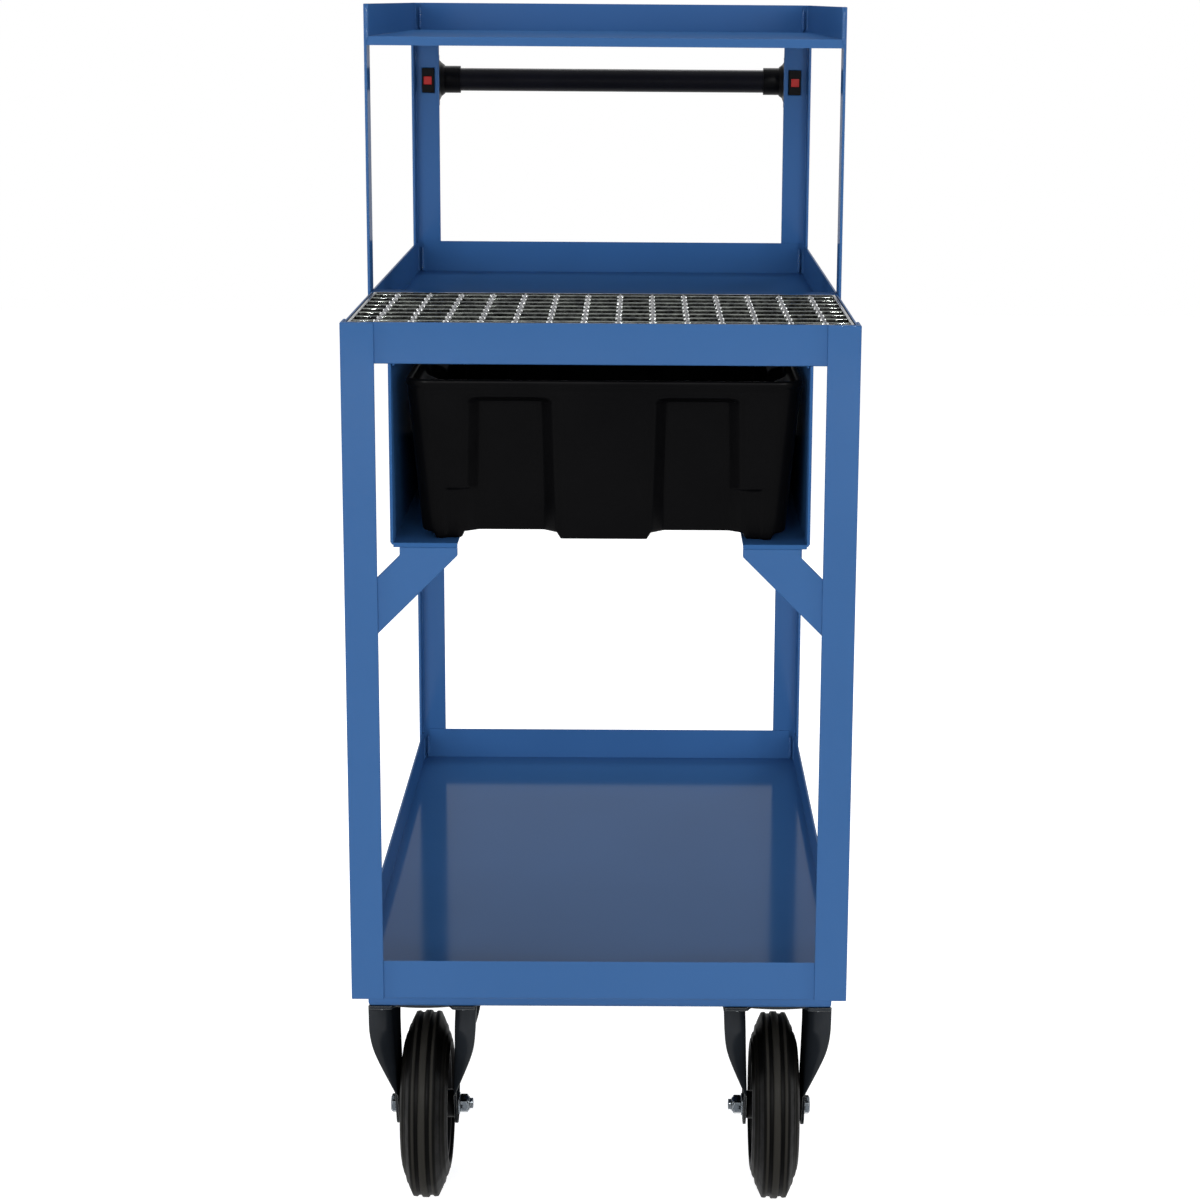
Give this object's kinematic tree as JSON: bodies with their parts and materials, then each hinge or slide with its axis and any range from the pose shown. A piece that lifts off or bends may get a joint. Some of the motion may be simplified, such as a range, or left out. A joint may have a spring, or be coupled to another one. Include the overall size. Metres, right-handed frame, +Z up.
{
  "type": "mobile dispensing station",
  "caption": "Mobile dispensing station: blue steel trolley with stepped shelf trays, a lift-off grating over a pull-out black sump tray, a push handle and casters.",
  "frame": {"origin": "on the floor under the middle of the trolley's bounding box", "axes": "+Z up, +X to the right when seen from the grating end, +Y from the grating end to the handle end"},
  "size_m": [0.5, 0.966, 1.25],
  "materials": {
    "blue_paint": "gloss powder coat",
    "galvanised": "hot-dip galvanised",
    "zinc_plate": "bright zinc plate",
    "black_tray": "moulded polyethylene, satin",
    "black_tube": "black gloss coat",
    "black_nylon": "moulded nylon",
    "red_cap": "moulded plastic",
    "black_rim": "moulded polypropylene",
    "tyre_rubber": "solid rubber",
    "steel": "plain steel"
  },
  "bodies": {
    "frame": {"post_front_left": "blue_paint", "post_front_right": "blue_paint", "post_rear_left": "blue_paint", "post_rear_right": "blue_paint", "upright_left": "blue_paint", "upright_right": "blue_paint", "rail_front": "blue_paint", "rail_side_left": "blue_paint", "rail_side_right": "blue_paint", "rail_cross": "blue_paint", "shelf_lower": "blue_paint", "shelf_middle": "blue_paint", "shelf_upper": "blue_paint", "runner_left": "blue_paint", "runner_right": "blue_paint", "brace_left": "blue_paint", "brace_right": "blue_paint", "beam_front": "blue_paint", "beam_rear": "blue_paint", "handle_tube": "black_tube", "handle_bracket_left": "black_nylon", "handle_bracket_right": "black_nylon", "locking_caps": "red_cap", "caster_bolts": "zinc_plate", "caster_nuts": "zinc_plate", "housing_left": "zinc_plate", "housing_right": "zinc_plate", "front_axle_bolts": "zinc_plate", "front_axle_nuts": "zinc_plate", "swivel_plate_left": "zinc_plate", "swivel_plate_right": "zinc_plate", "kingpins": "zinc_plate"},
    "grating": {"grating_band": "galvanised", "grating_bars": "galvanised", "grating_rods": "galvanised"},
    "sump_tray": {"sump_tray": "black_tray"},
    "front_wheel_left": {"front_rim_left": "black_rim", "front_tyre_left": "tyre_rubber", "front_bearing_left": "steel"},
    "swivel_left": {"fork_left": "zinc_plate", "rear_axle_bolt_left": "zinc_plate", "rear_axle_nut_left": "zinc_plate", "brake_pin_left": "zinc_plate"},
    "rear_wheel_left": {"rear_rim_left": "black_rim", "rear_tyre_left": "tyre_rubber", "rear_bearing_left": "steel"},
    "brake_lever_left": {"brake_left": "zinc_plate"},
    "front_wheel_right": {"front_rim_right": "black_rim", "front_tyre_right": "tyre_rubber", "front_bearing_right": "steel"},
    "swivel_right": {"fork_right": "zinc_plate", "rear_axle_bolt_right": "zinc_plate", "rear_axle_nut_right": "zinc_plate", "brake_pin_right": "zinc_plate"},
    "rear_wheel_right": {"rear_rim_right": "black_rim", "rear_tyre_right": "tyre_rubber", "rear_bearing_right": "steel"},
    "brake_lever_right": {"brake_right": "zinc_plate"}
  },
  "joints": [
    {"name": "grating_lift", "type": "slide", "parent": "frame", "child": "grating", "axis": [0, 0, 1], "range_m": [0, 0.34]},
    {"name": "sump_tray_slide", "type": "slide", "parent": "frame", "child": "sump_tray", "axis": [0, -1, 0], "range_m": [0, 0.61]},
    {"name": "front_wheel_spin_left", "type": "hinge", "parent": "frame", "child": "front_wheel_left", "pos_m": [-0.185, -0.347, 0.099], "axis": [1, 0, 0], "continuous": true},
    {"name": "swivel_turn_left", "type": "hinge", "parent": "frame", "child": "swivel_left", "pos_m": [-0.185, 0.281, 0.235], "axis": [0, 0, 1], "continuous": true},
    {"name": "rear_wheel_spin_left", "type": "hinge", "parent": "swivel_left", "child": "rear_wheel_left", "pos_m": [-0.185, 0.335, 0.099], "axis": [1, 0, 0], "continuous": true},
    {"name": "brake_press_left", "type": "hinge", "parent": "swivel_left", "child": "brake_lever_left", "pos_m": [-0.185, 0.39709, 0.19461], "axis": [-1, 0, 0], "range_deg": [0, 9]},
    {"name": "front_wheel_spin_right", "type": "hinge", "parent": "frame", "child": "front_wheel_right", "pos_m": [0.185, -0.347, 0.099], "axis": [1, 0, 0], "continuous": true},
    {"name": "swivel_turn_right", "type": "hinge", "parent": "frame", "child": "swivel_right", "pos_m": [0.185, 0.281, 0.235], "axis": [0, 0, 1], "continuous": true},
    {"name": "rear_wheel_spin_right", "type": "hinge", "parent": "swivel_right", "child": "rear_wheel_right", "pos_m": [0.185, 0.335, 0.099], "axis": [1, 0, 0], "continuous": true},
    {"name": "brake_press_right", "type": "hinge", "parent": "swivel_right", "child": "brake_lever_right", "pos_m": [0.185, 0.39709, 0.19461], "axis": [-1, 0, 0], "range_deg": [0, 9]}
  ]
}
